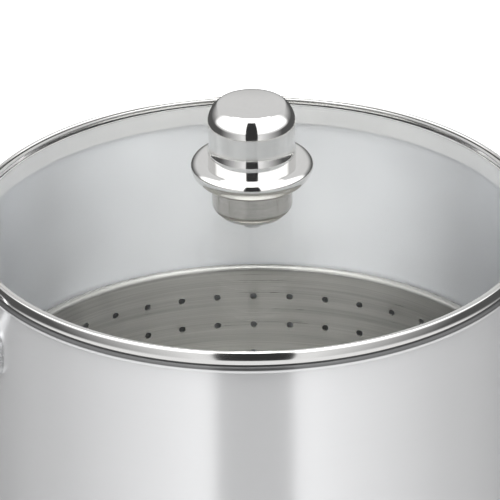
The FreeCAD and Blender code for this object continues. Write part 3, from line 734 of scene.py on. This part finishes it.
flangeShape = {
    "wall": 1.0 * mm, "core": 8.05 * mm, "top": 29.8 * mm, "bend": (33.5 * mm, 297.6 * mm),
    "edgeHigh": 295.2 * mm, "edgeLow": 294.0 * mm, "belly": (32.9 * mm, 288.8 * mm), "foot": 28.4 * mm,
    "innerFoot": 28.1 * mm, "innerBelly": (32.1 * mm, 289.4 * mm), "innerBend": (32.8 * mm, 296.9 * mm),
    "cupGap": 0.1 * mm,
}


def makeKnobFlange(s):
    low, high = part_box("knob_flange")
    r, t = high.x, s["wall"]
    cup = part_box("knob_base_cup")[1].x + s["cupGap"]
    top, foot = high.z, low.z
    outline = held((s["core"], top), (s["top"], top))
    outline += threePointArc((s["top"], top), s["bend"], (r, s["edgeHigh"]), 14)
    outline += threePointArc((r, s["edgeLow"]), s["belly"], (s["foot"], foot), 16)
    outline += [(cup, foot), (cup, foot + t), (s["innerFoot"], foot + t)]
    outline += threePointArc((s["innerFoot"], foot + t), s["innerBelly"], (r - t, s["edgeLow"]), 10)
    outline += threePointArc((r - t, s["edgeHigh"]), s["innerBend"], (s["top"], top - t), 10)
    outline += [(s["core"], top - t), (s["core"], top)]
    flange = turnOutline("knobFlange", outline, steps=144)
    dress(flange, polishedSteel)
    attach(flange, "lid")
    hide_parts("knob_flange")


cupShape = {"wall": 1.0 * mm, "bend": 5.0 * mm, "bore": 3.05 * mm}


def makeKnobCup(s):
    low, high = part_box("knob_base_cup")
    r, t, bend = high.x, s["wall"], s["bend"]
    centre = (r - bend, low.z + bend)
    outline = held((s["bore"], low.z), (r - bend, low.z))
    outline += arcPoints(centre, bend, -90, 0, 10)
    outline += held((r, centre[1]), (r, high.z))
    outline += [(r - t, high.z)]
    outline += arcPoints(centre, bend - t, 0, -90, 10)
    outline += [(s["bore"], low.z + t), (s["bore"], low.z)]
    cup = turnOutline("knobCup", outline, steps=144)
    dress(cup, cupSteel)
    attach(cup, "lid")
    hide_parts("knob_base_cup")


makeKnobCap(capShape)
makeKnobFlange(flangeShape)
makeKnobCup(cupShape)
print("lid ready")


# basket wall: one pierced tile, set out in rows and columns, then rolled round the axis

wallSizes = {
    "sheet": 0.8 * mm, "outer": 154.1 * mm, "hole": 2.0 * mm, "ringOut": 5.2 * mm,
    "columns": 45, "rows": 6, "pitch": 18.6 * mm, "topRow": 130.6 * mm, "roll": 2.8 * mm,
    "rollEnd": -135,
}


def drawLoop(piece, wanted, start, path):
    # draws an open edge loop out along points of the r-z plane
    pickVertices(piece, wanted)
    here = start
    for after in path:
        bpy.ops.mesh.extrude_edges_move(TRANSFORM_OT_translate={"value": (0, 0, after[1] - here[1])})
        spread = after[0] / here[0]
        bpy.ops.transform.resize(value=(spread, spread, 1), center_override=(0, 0, 0))
        here = after
    bpy.ops.object.mode_set(mode="OBJECT")


def makeBasketWall(s):
    low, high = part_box("basket_wall")
    inner = s["outer"] - s["sheet"]
    width = math.tau * inner / s["columns"]
    clearSelection()
    bpy.ops.mesh.primitive_plane_add(size=1)
    wall = bpy.context.object
    bpy.ops.object.mode_set(mode="EDIT")
    bpy.ops.mesh.subdivide(number_cuts=3)
    # only the tile's border stays, and a ring of points is bridged into it
    pickVertices(wall, lambda co: max(abs(co.x), abs(co.y)) < 0.49)
    bpy.ops.mesh.delete(type="VERT")
    bpy.ops.mesh.select_all(action="SELECT")
    bpy.ops.transform.resize(value=(width, s["pitch"], 1))
    bpy.ops.mesh.select_all(action="DESELECT")
    bpy.ops.mesh.primitive_circle_add(vertices=16, radius=s["ringOut"])
    bpy.ops.mesh.select_all(action="SELECT")
    bpy.ops.mesh.bridge_edge_loops()
    pickVertices(wall, lambda co: co.length < s["ringOut"] * 1.01)
    bpy.ops.mesh.extrude_edges_move(TRANSFORM_OT_translate={"value": (0, 0, 0)})
    shrink = s["hole"] / s["ringOut"]
    bpy.ops.transform.resize(value=(shrink, shrink, 1), center_override=(0, 0, 0))
    bpy.ops.object.mode_set(mode="OBJECT")
    wall.location = (-(s["columns"] - 1) / 2 * width, s["topRow"], 0)
    placeMesh(wall)
    for count, offset in ((s["rows"], (0, -s["pitch"], 0)), (s["columns"], (width, 0, 0))):
        applyModifier(wall, "ARRAY", count=count, use_relative_offset=False, use_constant_offset=True,
                      constant_offset_displace=offset, use_merge_vertices=True, merge_threshold=weld)
    wall.rotation_euler = (math.radians(90), 0, 0)
    placeMesh(wall)
    applyModifier(wall, "SIMPLE_DEFORM", deform_method="BEND", deform_axis="Z", angle=math.tau)
    wall.location = (0, -inner, 0)
    placeMesh(wall)
    editAll(wall)
    bpy.ops.mesh.remove_doubles(threshold=weld)
    upper, lower = s["topRow"] + s["pitch"] / 2, s["topRow"] - (s["rows"] - 0.5) * s["pitch"]
    rollCentre = (inner + s["roll"], high.z - s["roll"])
    rise = held((inner, upper), (inner, rollCentre[1]))[1:]
    rise += arcPoints(rollCentre, s["roll"], 180, s["rollEnd"], 22)[1:]
    fall = held((inner, lower), (inner, low.z))[1:]
    drawLoop(wall, lambda co: co.z > upper - weld, (inner, upper), rise)
    drawLoop(wall, lambda co: co.z < lower + weld, (inner, lower), fall)
    editAll(wall)
    bpy.ops.mesh.remove_doubles(threshold=weld)
    bpy.ops.mesh.normals_make_consistent(inside=False)
    finishMesh(wall, "basketWall")
    # the sheet is thickened away from the axis, whichever way its faces look
    probe = min(wall.data.polygons, key=lambda p: abs(p.center.z - upper))
    outward = probe.normal.dot(Vector((probe.center.x, probe.center.y, 0))) > 0
    applyModifier(wall, "SOLIDIFY", thickness=s["sheet"], offset=1.0 if outward else -1.0,
                  use_even_offset=True)
    smoothMesh(wall)
    dress(wall, basketSteel)
    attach(wall, "basket")
    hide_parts("basket_wall")


makeBasketWall(wallSizes)
print("basket ready")


# CAD pieces that stay, with finished materials

keptNodes = {
    "base_disc": rolledAluminium,
    "right_handle": handleSteel, "left_handle": handleSteel,
    "right_handle_rivets": polishedSteel, "left_handle_rivets": polishedSteel,
    "basket_floor": basketSteel, "basket_feet": basketSteel, "basket_rim_wire": basketSteel,
    "right_bail_brackets": handleSteel, "left_bail_brackets": handleSteel, "bracket_rivets": polishedSteel,
    "right_bail": handleSteel, "left_bail": handleSteel, "vent_eyelet": polishedSteel,
    "knob_core": platedSteel, "knob_screw": platedSteel, "knob_washer": platedSteel,
    "knob_upper_gasket": softSilicone, "knob_lower_gasket": softSilicone,
}
for node, material in keptNodes.items():
    for slot in nodes[node].material_slots:
        slot.material = material
print("kept CAD pieces dressed")
